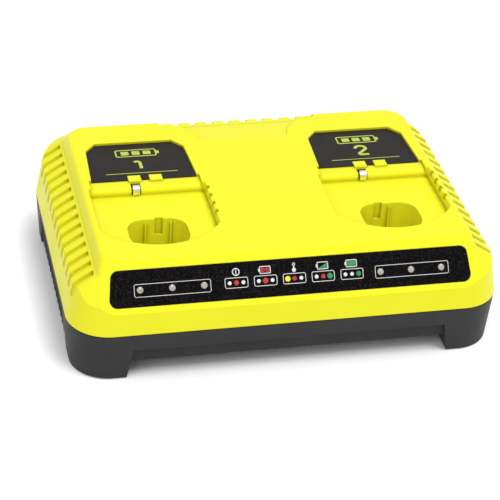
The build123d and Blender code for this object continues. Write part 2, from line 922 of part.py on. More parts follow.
def make_board_screws():
    """Four screws that hold the main board on its posts."""
    screws = []
    for x, y in board_posts():
        head = pillar(x, y, board_top, board_top + board_screw_head_height, board_screw_head_radius)
        shank = pillar(x, y, floor_top, board_top, board_screw_shank_radius)
        screws.append(head + shank)
    return screws


def make_board():
    """Main circuit board, bored for its four screws."""
    board = slab(
        (-board_half_width, board_front, board_underside),
        (board_half_width, board_rear, board_top),
    )
    return board - [pillar(x, y, 0, deck_height, board_screw_shank_radius) for x, y in board_posts()]


def on_board(shares):
    """Place on the main board from shares of its half width and half length."""
    return shares[0] * board_half_width, board_middle + shares[1] * board_length / 2


def make_core():
    """Transformer core: a closed ferrite frame with a middle limb."""
    x, y = on_board(core_shares)
    low = board_top + core_lift
    frame = slab(
        (x - core_width / 2, y - core_limb / 2, low),
        (x + core_width / 2, y + core_limb / 2, low + core_height),
    )
    window = (core_width - core_limb) / 2 - core_yoke / 2
    for side in (-1, 1):
        inner = x + side * core_limb / 2
        outer = inner + side * window
        frame -= slab(
            (min(inner, outer), y - core_limb, low + core_yoke),
            (max(inner, outer), y + core_limb, low + core_height - core_yoke),
        )
    return frame


def make_winding():
    """Transformer winding on the middle limb, with a foot plate that stands on the board."""
    x, y = on_board(core_shares)
    low = board_top + core_lift + core_yoke + winding_gap
    high = board_top + core_lift + core_height - core_yoke - winding_gap
    hole = core_limb / 2 + winding_gap
    coil_x = (core_width - core_yoke) / 2 - winding_gap
    coil_y = core_depth / 2
    coil = slab((x - coil_x, y - coil_y, low), (x + coil_x, y + coil_y, high))
    coil -= slab((x - hole, y - hole, low - overrun), (x + hole, y + hole, high + overrun))
    for side in (-1, 1):
        inner = y + side * (core_limb / 2 + winding_gap)
        outer = y + side * coil_y
        coil += slab((x - coil_x, min(inner, outer), board_top), (x + coil_x, max(inner, outer), low))
    return coil


def can(x, y, radius, height):
    """Capacitor can standing on the board, with a bevelled top edge."""
    body = pillar(x, y, board_top, board_top + height, radius)
    return chamfer(body.edges().sort_by(Axis.Z)[-1], capacitor_bevel)


def make_mains_capacitor():
    """Large smoothing capacitor."""
    return can(*on_board(mains_capacitor_shares), mains_capacitor_radius, mains_capacitor_height)


def make_output_capacitors():
    """Pair of output capacitors."""
    x, y = on_board(output_capacitor_shares)
    places = [x - output_capacitor_pitch / 2, x + output_capacitor_pitch / 2]
    return [can(place, y, output_capacitor_radius, output_capacitor_height) for place in places]


def make_heat_sink():
    """Finned heat sink standing on the board, with its fins to the rear."""
    x, y = on_board(sink_shares)
    top = board_top + sink_height
    sink = slab((x - sink_width / 2, y, board_top), (x + sink_width / 2, y + sink_spine, top))
    pitch = (sink_width - sink_fin_thickness) / (sink_fin_count - 1)
    fins = []
    for number in range(sink_fin_count):
        start = x - sink_width / 2 + number * pitch
        end = start + sink_fin_thickness
        fins.append(slab((start, y + sink_spine, board_top), (end, y + sink_spine + sink_fin_length, top)))
    return sink + fins


def make_transistors():
    """Two power transistors flat against the front of the heat sink."""
    x, y = on_board(sink_shares)
    low = board_top + transistor_lift
    return [
        slab(
            (place - transistor_width / 2, y - transistor_thickness, low),
            (place + transistor_width / 2, y, low + transistor_height),
        )
        for place in (x - transistor_pitch / 2, x + transistor_pitch / 2)
    ]


def make_fuse():
    """Glass fuse with a metal cap at each end, in two clips on the board."""
    x, y = on_board(fuse_shares)
    axis = board_top + fuse_lift
    tube = Pos(x, y, axis) * Rot(90, 0, 0) * Cylinder(fuse_radius, fuse_length)
    for side in (-1, 1):
        middle = y + side * (fuse_length - fuse_cap_length) / 2
        cap = Cylinder(fuse_radius + fuse_cap_wall, fuse_cap_length)
        tube += Pos(x, middle, axis) * Rot(90, 0, 0) * cap
        tube += slab(
            (x - fuse_radius, middle - clip_width / 2, board_top),
            (x + fuse_radius, middle + clip_width / 2, axis),
        )
    return tube


def make_choke():
    """Ring choke lying on the board, with bevelled edges."""
    x, y = on_board(choke_shares)
    top = board_top + 2 * choke_half_height
    ring = pillar(x, y, board_top, top, choke_ring_radius + choke_half_height)
    ring -= pillar(x, y, board_top - overrun, top + overrun, choke_ring_radius - choke_half_height)
    rims = [edge for edge in ring.edges() if edge.geom_type == GeomType.CIRCLE]
    return chamfer(rims, choke_bevel)


def inlet_recess():
    """Mouth of the mains inlet: a flat slot with round ends."""
    sheet = Plane.XZ * SlotOverall(inlet_recess_width, inlet_recess_height)
    mouth = depth / 2 - inlet_rear_inset
    return Pos(inlet_offset, mouth + overrun, inlet_middle) * extrude(sheet, inlet_recess_depth + overrun)


def make_inlet():
    """Mains inlet: a moulded block let into the rear wall, open to the rear, standing on the floor."""
    rear = depth / 2 - inlet_rear_inset
    block = slab(
        (inlet_offset - inlet_width / 2, rear - inlet_depth, floor_top),
        (inlet_offset + inlet_width / 2, rear, inlet_middle + inlet_height / 2),
    )
    return block - [inlet_recess()] - make_pins(pin_gap)


def make_pins(grow):
    """Two inlet pins, grown in radius, with tails that turn down on the main board."""
    pins = []
    back = depth / 2 - inlet_rear_inset - inlet_recess_depth
    tail = depth / 2 - inlet_rear_inset - inlet_depth - pin_tail_length
    for side in (-1, 1):
        x = inlet_offset + side * pin_spread / 2
        length = back + pin_length - tail
        pin = Pos(x, tail + length / 2, inlet_middle) * Rot(90, 0, 0) * Cylinder(pin_radius + grow, length)
        pins.append(pin + pillar(x, tail + pin_radius, board_top, inlet_middle, pin_radius))
    return pins


def export(name, shape):
    """Write one piece, or a group of like pieces, under its own name."""
    if isinstance(shape, list):
        shape = Compound(children=[Solid(s.solids()[0].wrapped) for s in shape])
    export_step(shape, f"parts/{name}.step")


os.makedirs("parts", exist_ok=True)
export("top_cover", make_cover())
export("base_housing", make_base())
export("indicator_overlay", make_overlay())
export("lamp_board", make_lamp_board())
for name, marks in well_marks.items():
    export(f"{name}_bay_plate", make_plate(marks["side"]))
    export(f"{name}_lamp_lenses", make_lamps(marks["side"]))
    export(f"{name}_sense_contact", make_contact(marks["side"]))
    export(f"{name}_contact_carrier", make_carrier(marks["side"]))
    export(f"{name}_power_terminals", make_terminals(marks["side"]))
    export(f"{name}_terminal_block", make_terminal_block(marks["side"]))
export("foot_pads", make_feet())
export("housing_screws", make_housing_screws())
export("board_screws", make_board_screws())
export("main_board", make_board())
export("transformer_core", make_core())
export("transformer_winding", make_winding())
export("mains_capacitor", make_mains_capacitor())
export("output_capacitors", make_output_capacitors())
export("heat_sink", make_heat_sink())
export("power_transistors", make_transistors())
export("fuse", make_fuse())
export("line_choke", make_choke())
export("mains_inlet", make_inlet())
export("inlet_pins", make_pins(0))
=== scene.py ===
"""Dresses the twin-bay charger: finishes for every piece, printed legends, lamp domes, stage and camera."""

import json
import math

import bmesh
import bpy
import numpy as np
from mathutils import Matrix, Vector


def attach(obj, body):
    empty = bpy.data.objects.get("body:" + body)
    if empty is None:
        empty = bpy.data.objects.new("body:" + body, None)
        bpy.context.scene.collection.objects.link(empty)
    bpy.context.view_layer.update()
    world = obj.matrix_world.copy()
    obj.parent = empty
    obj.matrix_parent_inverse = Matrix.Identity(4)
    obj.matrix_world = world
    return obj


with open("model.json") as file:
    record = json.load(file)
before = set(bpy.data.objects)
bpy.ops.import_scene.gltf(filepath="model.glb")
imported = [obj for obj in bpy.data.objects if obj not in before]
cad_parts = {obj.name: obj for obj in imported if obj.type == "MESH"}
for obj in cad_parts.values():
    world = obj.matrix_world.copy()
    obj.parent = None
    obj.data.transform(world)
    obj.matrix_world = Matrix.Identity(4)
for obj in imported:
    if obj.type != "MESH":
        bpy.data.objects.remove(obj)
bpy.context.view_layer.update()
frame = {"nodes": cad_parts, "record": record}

# Lengths are in millimetres, and in metres for the welding of meshes, the floor and the soft boxes
MM = 0.001
WELD = 1e-7
DEGENERATE = 1e-8

# Fascia: the sloping front that carries the indicator overlay
DECK_FRONT = -64.5
DECK_HEIGHT = 64.0
FASCIA_ANGLE = math.radians(54.8)

# Print on the overlay and the bay plates: its underside and top over the surface, and its fineness
PRINT_LOW = 0.01
PRINT_HIGH = 0.06
ARC_STEPS = 8
DOT_STEPS = 28

# Lamp groups on the overlay: a low dome on each lamp and a fine frame round each group
LAMPS_PER_BAY = 3
LAMP_DROP = 16.9
LAMP_REACH = 79.2
LAMP_PITCH = 16.4
LAMP_DOME_RADIUS = 1.55
LAMP_DOME_RISE = 0.35
LAMP_DOME_RINGS = 6
LAMP_FRAMES = (
    {"left": -82.2, "right": -43.0, "top": 14.0, "bottom": 20.4},
    {"left": 43.6, "right": 83.0, "top": 13.8, "bottom": 20.2},
)
LAMP_FRAME_RADIUS = 0.9
LAMP_FRAME_LINE = 0.27

# Five legend groups between the lamp groups, each a pictogram over a framed row of dots
LEGEND_PLACES = (-29.7, -14.5, 0.65, 15.8, 31.1)
LEGEND_DROP = 16.9
LEGEND_HALF_WIDTH = 5.9
LEGEND_HALF_HEIGHT = 2.55
LEGEND_RADIUS = 0.9
LEGEND_LINE = 0.31
LEGEND_DOT_PITCH = 3.55
SMALL_DOT = 1.0
MEDIUM_DOT = 1.15
FULL_DOT = 1.25
POWER_DOT = 1.3
LARGE_DOT = 1.45
LEGEND_DOTS = (
    (("white", SMALL_DOT), ("red", POWER_DOT), ("white", SMALL_DOT)),
    (("white", SMALL_DOT), ("red", LARGE_DOT), ("white", SMALL_DOT)),
    (("yellow", LARGE_DOT), ("red", MEDIUM_DOT), ("white", SMALL_DOT)),
    (("white", SMALL_DOT), ("red", MEDIUM_DOT), ("green", LARGE_DOT)),
    (("white", SMALL_DOT), ("white", SMALL_DOT), ("green", FULL_DOT)),
)

# Pictograms over the rows of dots: ring and bar, cells and their fills, thermometer
ICON_DROP = 11.4
POWER_RING_RADIUS = 1.75
POWER_RING_LINE = 0.5
POWER_BAR_HALF = (0.24, 1.15)
POWER_BAR_RADIUS = 0.2
ICON_CELL_HALF = (2.75, 1.75)
ICON_CELL_RADIUS = 0.35
ICON_CELL_LINE = 0.42
ICON_CAP_HALF = (0.35, 0.8)
ICON_CAP_RADIUS = 0.2
ICON_CAP_REACH = 3.2
ICON_FILL_RADIUS = 0.12
FULL_FILL_HALF = (2.25, 1.25)
HALF_FILL_CORNERS = ((-2.2, 1.2), (2.25, 1.2), (2.25, -1.25))
FAULT_BAR_HALF = (0.42, 1.15)
FAULT_BAR_REACH = 1.75
FAULT_CROSS_HALF = (1.35, 1.0)
FAULT_CROSS_STROKE = 0.75
FAULT_CROSS_STEPS = 5
BULB_RADIUS = 1.05
BULB_FALL = 1.15
STEM_HALF = (0.3, 0.9)
STEM_RADIUS = 0.28
STEM_RISE = 0.4
STEM_HEAD_RADIUS = 0.62
STEM_HEAD_LINE = 0.36
STEM_HEAD_RISE = 1.75

# Bay plates: a plain cell pictogram, a numeral and a fine line, one under the other
PLATE_CENTRE = 62.8
PLATE_TOP = 62.8
CELL_MIDDLE = 38.6
CELL_HALF_LENGTH = 11.0
CELL_HALF_HEIGHT = 3.4
CELL_RADIUS = 0.9
CELL_LINE = 0.8
CELL_CAP_HALF = (0.75, 1.5)
CELL_BAR_HALF = (2.2, 1.9)
CELL_BAR_PITCH = 6.1
RULE_Y = 17.6
RULE_HALF_LENGTH = 19.5
RULE_STROKE = 0.5
RULE_STEPS = 12

# Numerals: corners of each stroke as x, y and the radius of the turn there
NUMERAL_FOOT = 22.2
NUMERAL_STROKE = 1.8
NUMERAL_TURN = 1.5
NUMERAL_BOW = 2.5
NUMERAL_HEEL = 0.95
NUMERAL_STEPS = 9
ONE_CORNERS = ((-2.4, 6.6, 0.0), (0.6, 9.2, NUMERAL_TURN), (0.6, 0.0, 0.0))
TWO_CORNERS = (
    (-2.9, 6.6, 0.0),
    (-2.9, 9.2, NUMERAL_BOW),
    (2.9, 9.2, NUMERAL_BOW),
    (2.9, 5.9, NUMERAL_TURN),
    (-3.4, 0.0, NUMERAL_HEEL),
    (3.4, 0.0, 0.0),
)

# Screw heads in the base's bosses, seen from below: a crown with a cross whose flanks and ends slope
SCREW_PLACES = [(x, y) for x in (-101.0, 101.0) for y in (-40.0, 40.0)]
SCREW_FACE = 19.6
SCREW_GAP = 0.01
SCREW_RADIUS = 3.1
SCREW_CROWN = 0.45
SCREW_RINGS = 22
SCREW_STEPS = 64
CROSS_LENGTH = 2.1
CROSS_WIDTH = 0.55
CROSS_DEPTH = 0.9
CROSS_FLANK = 0.2
CROSS_END = 0.4

# Finishes: ranges of pattern values, spread of roughness below and above its mean, edges, and the shade
# painted into the creases of the lime cover
UNIT = (0.0, 1.0)
CLOUD = (0.3, 0.7)
MOULDED_SPREAD = (-0.05, 0.07)
DRAWN_SPREAD = (-0.06, 0.1)
EDGE_SAMPLES = 6
EDGE_TURN = (0.985, 0.8)
# Painted shade in the lime cover's creases: how far the occlusion probe reaches, its samples, the range it
# reads and how dark the shade goes
PAINTED_SHADE_REACH = 3.2
PAINTED_SHADE_SAMPLES = 8
PAINTED_SHADE_RANGE = (0.35, 0.95)
PAINTED_SHADE_DEPTH = 0.85

# Sockets of the mix node that carry colours; its other modes have sockets of the same names
MIX_SHARE = 0
MIX_FIRST = 6
MIX_SECOND = 7
MIX_RESULT = 2

# Floor: its greys, and the glow that joins it to the surround beyond a box about the charger
FLOOR_SIZE = 6.0
FLOOR_STEPS = 3
FLOOR_SEEN = 0.97
FLOOR_THROWN = 0.8
FLOOR_GLOW = 0.36
FLOOR_SHADE_HALF = (0.075, 0.045, 1.0)
FLOOR_SHADE_RANGE = (0.032, 0.066)

# Light: the surround's level, and two soft boxes that face the charger's middle
WORLD_LIGHT = 0.58
LIGHT_AIM = (0.0, 0.0, 0.03)
SOFT_BOXES = {
    "key_box": {"place": (0.75, -0.9, 2.9), "size": 1.5, "power": 53.0},
    "fill_box": {"place": (-1.5, -1.7, 1.8), "size": 1.6, "power": 15.0},
}

# Camera in front of the charger, to its left and above: turns in degrees, clip distances in metres
CAMERA_PLACE = (-219.934, -818.012, 573.584)
CAMERA_YAW = 14.767
CAMERA_PITCH = 33.234
CAMERA_ROLL = 4.013
CAMERA_LENS = 132.0
CAMERA_SENSOR = 36.0
CAMERA_CLIP = (0.01, 50.0)


# Meshes worked out as arrays


def in_scene(name, data):
    """New object of some data, linked into the scene."""
    made = bpy.data.objects.new(name, data)
    bpy.context.scene.collection.objects.link(made)
    return made


def grid_faces(rows, columns, wrap_rows, wrap_columns):
    """Quads of a grid of rows by columns; a wrapped direction joins its last line to its first."""
    row = np.arange(rows if wrap_rows else rows - 1)
    column = np.arange(columns if wrap_columns else columns - 1)
    row, column = np.meshgrid(row, column, indexing="ij")
    next_row = (row + 1) % rows
    next_column = (column + 1) % columns
    corners = ((row, column), (next_row, column), (next_row, next_column), (row, next_column))
    return np.stack([r * columns + c for r, c in corners], -1).reshape(-1, 4)


def patch(points, wrap_rows=False, wrap_columns=False):
    """One surface from a grid of points: its vertices and its quads."""
    rows, columns = points.shape[:2]
    return points.reshape(-1, 3), grid_faces(rows, columns, wrap_rows, wrap_columns)


def build(name, patches, material, body="housing", smooth=True):
    """One object from several surfaces: poles and seams are welded and faces turned outwards."""
    vertices = []
    faces = []
    start = 0
    for points, quads in patches:
        vertices.append(points)
        faces.append(quads + start)
        start += len(points)
    mesh = bpy.data.meshes.new(name)
    mesh.from_pydata(np.concatenate(vertices) * MM, [], np.concatenate(faces).tolist())
    work = bmesh.new()
    work.from_mesh(mesh)
    bmesh.ops.remove_doubles(work, verts=work.verts, dist=WELD)
    bmesh.ops.dissolve_degenerate(work, edges=work.edges, dist=DEGENERATE)
    bmesh.ops.recalc_face_normals(work, faces=work.faces)
    work.to_mesh(mesh)
    work.free()
    mesh.polygons.foreach_set("use_smooth", np.full(len(mesh.polygons), smooth))
    mesh.materials.append(material)
    piece = in_scene(name, mesh)
    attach(piece, body)


def on_fascia(x, drop, lift):
    """Point on the fascia: across, down the slope from the deck's front edge, and out along its normal."""
    run = math.cos(FASCIA_ANGLE)
    fall = math.sin(FASCIA_ANGLE)
    x, drop, lift = np.broadcast_arrays(x, drop, lift)
    y = DECK_FRONT - drop * run - lift * fall
    z = DECK_HEIGHT - drop * fall + lift * run
    return np.stack([x, y, z], -1)


def on_plate(x, y, lift):
    """Point over a bay plate: across, towards the rear, and up."""
    x, y, lift = np.broadcast_arrays(x, y, lift)
    return np.stack([x, y, PLATE_TOP + lift], -1)


def rounded_loop(half_width, half_height, radius):
    """Closed rounded rectangle: four quarter arcs about the corner centres, with the outward normals."""
    turn = np.linspace(0, np.pi / 2, ARC_STEPS)
    angle = np.concatenate([turn + quarter * np.pi / 2 for quarter in range(4)])
    normal = np.stack([np.cos(angle), np.sin(angle)], -1)
    side = np.repeat(np.array([[1, 1], [-1, 1], [-1, -1], [1, -1]]), ARC_STEPS, axis=0)
    centre = side * np.array([half_width - radius, half_height - radius])
    return centre + radius * normal, normal


def round_loop(radius):
    """Circle of a radius, with its outward normals."""
    angle = np.linspace(0, 2 * np.pi, DOT_STEPS, endpoint=False)
    normal = np.stack([np.cos(angle), np.sin(angle)], -1)
    return radius * normal, normal


def ring_line(place, loop, normal, line, seat):
    """Line printed along a closed loop: a flat oblong section carried round it, line wide."""
    across = np.array([-line / 2, line / 2, line / 2, -line / 2])
    lift = np.array([PRINT_LOW, PRINT_LOW, PRINT_HIGH, PRINT_HIGH])
    flat = place + loop[:, None, :] + normal[:, None, :] * across[None, :, None]
    return patch(seat(flat[..., 0], flat[..., 1], lift[None, :]), True, True)


def filled(place, loop, seat):
    """Printed patch: from the middle out to the loop, down its edge and back in underneath."""
    share = np.array([0.0, 1.0, 1.0, 0.0])
    lift = np.array([PRINT_HIGH, PRINT_HIGH, PRINT_LOW, PRINT_LOW])
    middle = loop.mean(axis=0)
    flat = place + middle + (loop[:, None, :] - middle) * share[None, :, None]
    return patch(seat(flat[..., 0], flat[..., 1], lift[None, :]), True, False)


def stroke(path, width, seat):
    """Open line along a path of points: the path moved to each side by half the width, as a closed strip.

    Each end is drawn together to its middle.
    """
    step = np.gradient(path, axis=0)
    step /= np.linalg.norm(step, axis=1, keepdims=True)
    side = np.stack([-step[:, 1], step[:, 0]], -1) * width / 2
    across = np.array([-1.0, 1.0, 1.0, -1.0])
    lift = np.array([PRINT_LOW, PRINT_LOW, PRINT_HIGH, PRINT_HIGH])
    flat = path[:, None, :] + side[:, None, :] * across[None, :, None]
    ends = np.repeat(flat[[0, -1]].mean(axis=1, keepdims=True), len(across), axis=1)
    flat = np.concatenate([ends[:1], flat, ends[1:]])
    lifts = np.broadcast_to(lift, flat.shape[:2]).copy()
    lifts[[0, -1]] = lift.mean()
    return patch(seat(flat[..., 0], flat[..., 1], lifts), False, True)


def bent_path(corners):
    """Path through corners given as x, y and radius: straight runs joined by arcs tangent to both."""
    corners = np.array(corners)
    points, radii = corners[:, :2], corners[:, 2]
    runs = np.diff(points, axis=0)
    runs /= np.linalg.norm(runs, axis=1, keepdims=True)
    pieces = [points[:1]]
    for corner, radius, before, after in zip(points[1:-1], radii[1:-1], runs[:-1], runs[1:]):
        across = before[0] * after[1] - before[1] * after[0]
        angle = np.arctan2(across, before @ after)
        inward = np.sign(angle) * np.array([-before[1], before[0]])
        start = corner - before * radius * np.tan(abs(angle) / 2)
        turn = np.linspace(0, abs(angle), NUMERAL_STEPS)[:, None]
        pieces.append(start + radius * (before * np.sin(turn) + inward * (1 - np.cos(turn))))
    return np.concatenate(pieces + [points[-1:]])


def dome(x, drop, radius, rise):
    """Low round dome on the fascia: it rises as the cosine of a quarter turn over its radius."""
    share = np.linspace(0, 1, LAMP_DOME_RINGS)
    angle = np.linspace(0, 2 * np.pi, DOT_STEPS, endpoint=False)
    share, angle = np.meshgrid(share, angle, indexing="ij")
    across = x + radius * share * np.cos(angle)
    down = drop + radius * share * np.sin(angle)
    lift = PRINT_LOW + rise * np.cos(share * np.pi / 2)
    return patch(on_fascia(across, down, lift), False, True)


def cross_arm(across, along):
    """Depth share of one arm of a cross: one along its middle, falling to nought at its flanks and ends."""
    flank = np.clip((CROSS_WIDTH - np.abs(across)) / CROSS_FLANK, 0, 1)
    end = np.clip((CROSS_LENGTH - np.abs(along)) / CROSS_END, 0, 1)
    return flank * end


def cross_face(x, y):
    """Screw face seen from below: over polar steps, a crown that falls as the square of the radius.

    A cross is pressed into it, no deeper than the crown's rim.
    """
    share = np.linspace(0, 1, SCREW_RINGS)
    angle = np.linspace(0, 2 * np.pi, SCREW_STEPS, endpoint=False)
    share, angle = np.meshgrid(share, angle, indexing="ij")
    across = SCREW_RADIUS * share * np.cos(angle)
    along = SCREW_RADIUS * share * np.sin(angle)
    crown = SCREW_CROWN * (1 - share**2)
    sink = CROSS_DEPTH * np.maximum(cross_arm(across, along), cross_arm(along, across))
    z = SCREW_FACE - SCREW_GAP - np.maximum(crown - sink, 0)
    return patch(np.stack([x + across, y + along, z], -1), False, True)


# Finishes


class Finish:
    """A node material under way, with short calls for the nodes that the finishes share."""

    def __init__(self, name):
        self.material = bpy.data.materials.new(name)
        self.material.use_nodes = True
        self.tree = self.material.node_tree
        self.shader = self.tree.nodes["Principled BSDF"]
        self.place = self.tree.nodes.new("ShaderNodeTexCoord").outputs["Object"]

    def put(self, socket, value):
        """Link a socket to another one, or set it to a plain value."""
        if isinstance(value, bpy.types.NodeSocket):
            self.tree.links.new(value, socket)
        else:
            socket.default_value = value

    def node(self, kind, **inputs):
        """New shader node of a kind, with its named inputs put in."""
        made = self.tree.nodes.new("ShaderNode" + kind)
        for key, value in inputs.items():
            self.put(made.inputs[key.replace("_", " ")], value)
        return made

    def set(self, **inputs):
        """Put named inputs into the surface shader."""
        for key, value in inputs.items():
            self.put(self.shader.inputs[key.replace("_", " ")], value)
        return self

    def noise(self, size_mm, detail=2.0, stretch=None):
        """Cloud pattern with features of about a size; stretch scales it along each axis."""
        place = self.place
        if stretch is not None:
            place = self.node("Mapping", Vector=place, Scale=stretch).outputs["Vector"]
        return self.node("TexNoise", Vector=place, Scale=1 / (size_mm * MM), Detail=detail).outputs["Fac"]

    def between(self, value, source, target=UNIT):
        """Value carried from a source range to a target range, held at both ends."""
        made = self.node(
            "MapRange",
            Value=value,
            From_Min=source[0],
            From_Max=source[1],
            To_Min=target[0],
            To_Max=target[1],
        )
        return made.outputs["Result"]

    def cloud(self, size_mm, detail=2.0, source=CLOUD, target=UNIT):
        """Cloud pattern whose source range is carried to a target range."""
        return self.between(self.noise(size_mm, detail), source, target)

    def mix(self, share, first, second):
        """Colour between two, by share."""
        made = self.node("Mix")
        made.data_type = "RGBA"
        self.put(made.inputs[MIX_SHARE], share)
        self.put(made.inputs[MIX_FIRST], first)
        self.put(made.inputs[MIX_SECOND], second)
        return made.outputs[MIX_RESULT]

    def product(self, a, b):
        """One value times another."""
        made = self.node("Math")
        made.operation = "MULTIPLY"
        self.put(made.inputs[0], a)
        self.put(made.inputs[1], b)
        return made.outputs["Value"]

    def vector(self, operation, *values):
        """Result of an operation on one vector or two."""
        made = self.node("VectorMath")
        made.operation = operation
        for socket, value in zip(made.inputs, values):
            self.put(socket, value)
        return made.outputs["Value" if operation in ("LENGTH", "DOT_PRODUCT") else "Vector"]

    def beyond(self, half):
        """How far a point lies outside a box about the origin, in metres."""
        past = self.vector("SUBTRACT", self.vector("ABSOLUTE", self.place), half)
        return self.vector("LENGTH", self.vector("MAXIMUM", past, (0, 0, 0)))

    def soft_edges(self, radius_mm):
        """Normal that turns smoothly over edges, and a mask of where it leaves the true one."""
        bevel = self.node("Bevel", Radius=radius_mm * MM)
        bevel.samples = EDGE_SAMPLES
        true = self.node("NewGeometry").outputs["Normal"]
        turn = self.vector("DOT_PRODUCT", bevel.outputs["Normal"], true)
        return bevel.outputs["Normal"], self.between(turn, EDGE_TURN)

    def relief(self, height, depth_mm, normal=None):
        """Bump of a height pattern, laid over another normal if one is given."""
        bump = self.node("Bump", Height=height, Distance=depth_mm * MM)
        if normal is not None:
            self.put(bump.inputs["Normal"], normal)
        return bump.outputs["Normal"]


def rgb(red, green, blue):
    """Opaque colour from its linear parts."""
    return (red, green, blue, 1.0)


def grey(level):
    """Opaque grey of a linear level."""
    return rgb(level, level, level)


def spread(mean, offsets):
    """Range about a mean."""
    return mean + offsets[0], mean + offsets[1]


def moulding(name, colour, shade, worn, roughness, grain_mm, grain_depth_mm, edge_mm, wear):
    """Moulded plastic: cloudy tone, spark-eroded grain, soft edges that are rubbed a little paler."""
    look = Finish(name)
    normal, edge = look.soft_edges(edge_mm)
    tone = look.cloud(size_mm=38.0, detail=3.0, source=(0.35, 0.65))
    body = look.mix(tone, shade, colour)
    scuff = look.cloud(size_mm=6.0, detail=4.0, source=(0.42, 0.62), target=(0.0, wear))
    look.set(Base_Color=look.mix(look.product(edge, scuff), body, worn))
    look.set(Roughness=look.cloud(size_mm=9.0, detail=5.0, target=spread(roughness, MOULDED_SPREAD)))
    return look.set(Normal=look.relief(look.noise(grain_mm), grain_depth_mm, normal))


def lime_shell():
    """Lime cover: satin moulding with painted shade, its colour darkened where an occlusion probe finds
    creases and grooves.
    """
    look = moulding(
        "lime_shell",
        colour=rgb(0.87, 0.85, 0.021),
        shade=rgb(0.85, 0.825, 0.018),
        worn=rgb(0.88, 0.87, 0.07),
        roughness=0.38,
        grain_mm=0.55,
        grain_depth_mm=0.02,
        edge_mm=0.6,
        wear=0.5,
    )
    # Painted shade: the colour is darkened towards a deep olive where the surface is hemmed in, as shade
    # falls in creases and grooves
    shade_probe = look.node("AmbientOcclusion", Distance=PAINTED_SHADE_REACH * MM)
    shade_probe.samples = PAINTED_SHADE_SAMPLES
    painted_crease_shade = look.between(shade_probe.outputs["AO"], PAINTED_SHADE_RANGE, (PAINTED_SHADE_DEPTH, 0.0))
    plain = look.shader.inputs["Base Color"].links[0].from_socket
    look.set(Base_Color=look.mix(painted_crease_shade, plain, rgb(0.42, 0.385, 0.005)))
    return look.set(IOR=1.5, Specular_IOR_Level=0.16).material


def dark_shell():
    """Dark base: fine matt moulding."""
    look = moulding(
        "dark_shell",
        colour=rgb(0.04, 0.04, 0.041),
        shade=rgb(0.035, 0.035, 0.036),
        worn=grey(0.09),
        roughness=0.52,
        grain_mm=0.6,
        grain_depth_mm=0.03,
        edge_mm=0.7,
        wear=0.6,
    )
    return look.set(IOR=1.5, Specular_IOR_Level=0.13).material


def block_plastic():
    """Black moulded blocks inside."""
    look = moulding(
        "block_plastic",
        colour=rgb(0.03, 0.03, 0.031),
        shade=rgb(0.024, 0.024, 0.025),
        worn=grey(0.08),
        roughness=0.45,
        grain_mm=0.5,
        grain_depth_mm=0.03,
        edge_mm=0.3,
        wear=0.6,
    )
    return look.material


def bay_plate():
    """Charcoal plates: smooth satin film with a fine grain."""
    look = moulding(
        "bay_plate",
        colour=rgb(0.022, 0.0185, 0.018),
        shade=rgb(0.019, 0.016, 0.0155),
        worn=rgb(0.06, 0.05, 0.05),
        roughness=0.45,
        grain_mm=0.4,
        grain_depth_mm=0.012,
        edge_mm=0.15,
        wear=0.4,
    )
    return look.set(Specular_IOR_Level=0.09).material


def overlay_film():
    """Black film with pale specks through it."""
    look = Finish("overlay_film")
    specks = look.cloud(size_mm=0.8, detail=3.0, source=(0.54, 0.72))
    look.set(Base_Color=look.mix(specks, rgb(0.0022, 0.0018, 0.0018), rgb(0.03, 0.026, 0.027)))
    look.set(Roughness=look.cloud(size_mm=1.2, detail=3.0, target=(0.36, 0.5)))
    look.set(Normal=look.relief(look.noise(size_mm=0.45), depth_mm=0.012))
    return look.set(Specular_IOR_Level=0.04).material


def lamp_lens():
    """Milky lamp lens with a faint cloud through it."""
    look = Finish("lamp_lens")
    milk = look.cloud(size_mm=1.4, detail=3.0)
    look.set(Base_Color=look.mix(milk, rgb(0.34, 0.312, 0.255), rgb(0.45, 0.42, 0.355)))
    look.set(Roughness=look.cloud(size_mm=0.7, target=(0.16, 0.28)))
    return look.set(Subsurface_Weight=0.15, Subsurface_Scale=1.0 * MM, Coat_Weight=0.3).material


def drawn_metal(name, colour, shade, roughness, stretch):
    """Plated strip: fine draw lines along one axis and cloudy tarnish."""
    look = Finish(name)
    lines = look.noise(size_mm=1.6, detail=4.0, stretch=stretch)
    tarnish = look.cloud(size_mm=5.0, detail=4.0, source=(0.35, 0.7))
    look.set(Metallic=1.0, Base_Color=look.mix(tarnish, colour, shade))
    look.set(Roughness=look.between(lines, CLOUD, spread(roughness, DRAWN_SPREAD)))
    return look.set(Normal=look.relief(lines, depth_mm=0.01)).material


def contact_metal():
    """Bright plated spring strip."""
    return drawn_metal(
        "contact_metal",
        colour=rgb(0.86, 0.85, 0.83),
        shade=rgb(0.7, 0.68, 0.64),
        roughness=0.2,
        stretch=(1.0, 0.2, 0.2),
    )


def terminal_metal():
    """Yellow plated blade."""
    return drawn_metal(
        "terminal_metal",
        colour=rgb(0.82, 0.68, 0.4),
        shade=rgb(0.62, 0.48, 0.25),
        roughness=0.26,
        stretch=(1.0, 1.0, 0.2),
    )


def screw_steel():
    """Grey screw steel."""
    return drawn_metal(
        "screw_steel",
        colour=rgb(0.62, 0.62, 0.63),
        shade=rgb(0.45, 0.45, 0.44),
        roughness=0.3,
        stretch=(0.2, 1.0, 0.1),
    )


def sink_metal():
    """Drawn aluminium of the heat sink."""
    return drawn_metal(
        "sink_metal",
        colour=rgb(0.7, 0.7, 0.72),
        shade=rgb(0.58, 0.58, 0.6),
        roughness=0.34,
        stretch=(1.0, 1.0, 0.1),
    )


